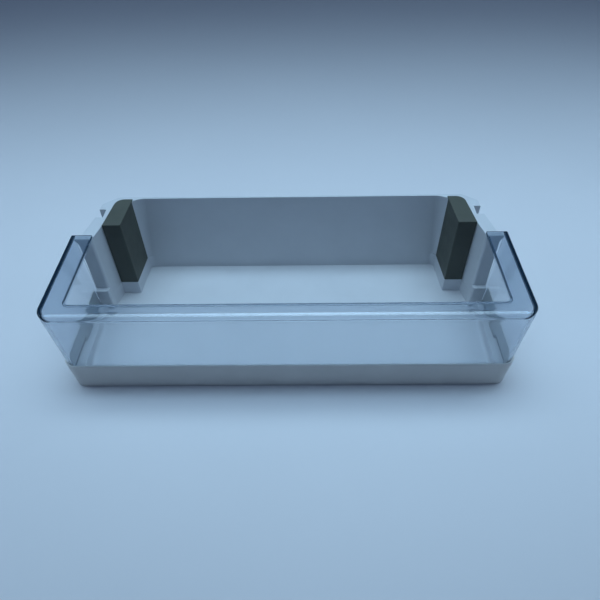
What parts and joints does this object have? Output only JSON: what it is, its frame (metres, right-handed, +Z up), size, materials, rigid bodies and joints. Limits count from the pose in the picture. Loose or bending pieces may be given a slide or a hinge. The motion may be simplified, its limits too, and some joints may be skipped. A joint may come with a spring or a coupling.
{
  "type": "refrigerator door shelf",
  "caption": "Deep refrigerator door shelf: white tub with side grooves and hooks, clear lipped guard round the front, grey foot trim and taupe post covers. Holds bottles and jars.",
  "frame": {"origin": "under the middle of the shelf, on the surface that it stands on", "axes": "+X along the shelf's width, +Y from its front towards the door, +Z up"},
  "size_m": [0.442, 0.185, 0.106],
  "materials": {
    "white_plastic": "white moulded polystyrene, satin",
    "clear_plastic": "clear moulded polystyrene, polished",
    "grey_plastic": "light grey moulded plastic, satin",
    "taupe_plastic": "dark taupe moulded plastic, fine texture"
  },
  "bodies": {
    "root": {"tub": "white_plastic", "guard": "clear_plastic", "trim_band": "grey_plastic", "left_post_cover": "taupe_plastic", "right_post_cover": "taupe_plastic"}
  },
  "joints": []
}
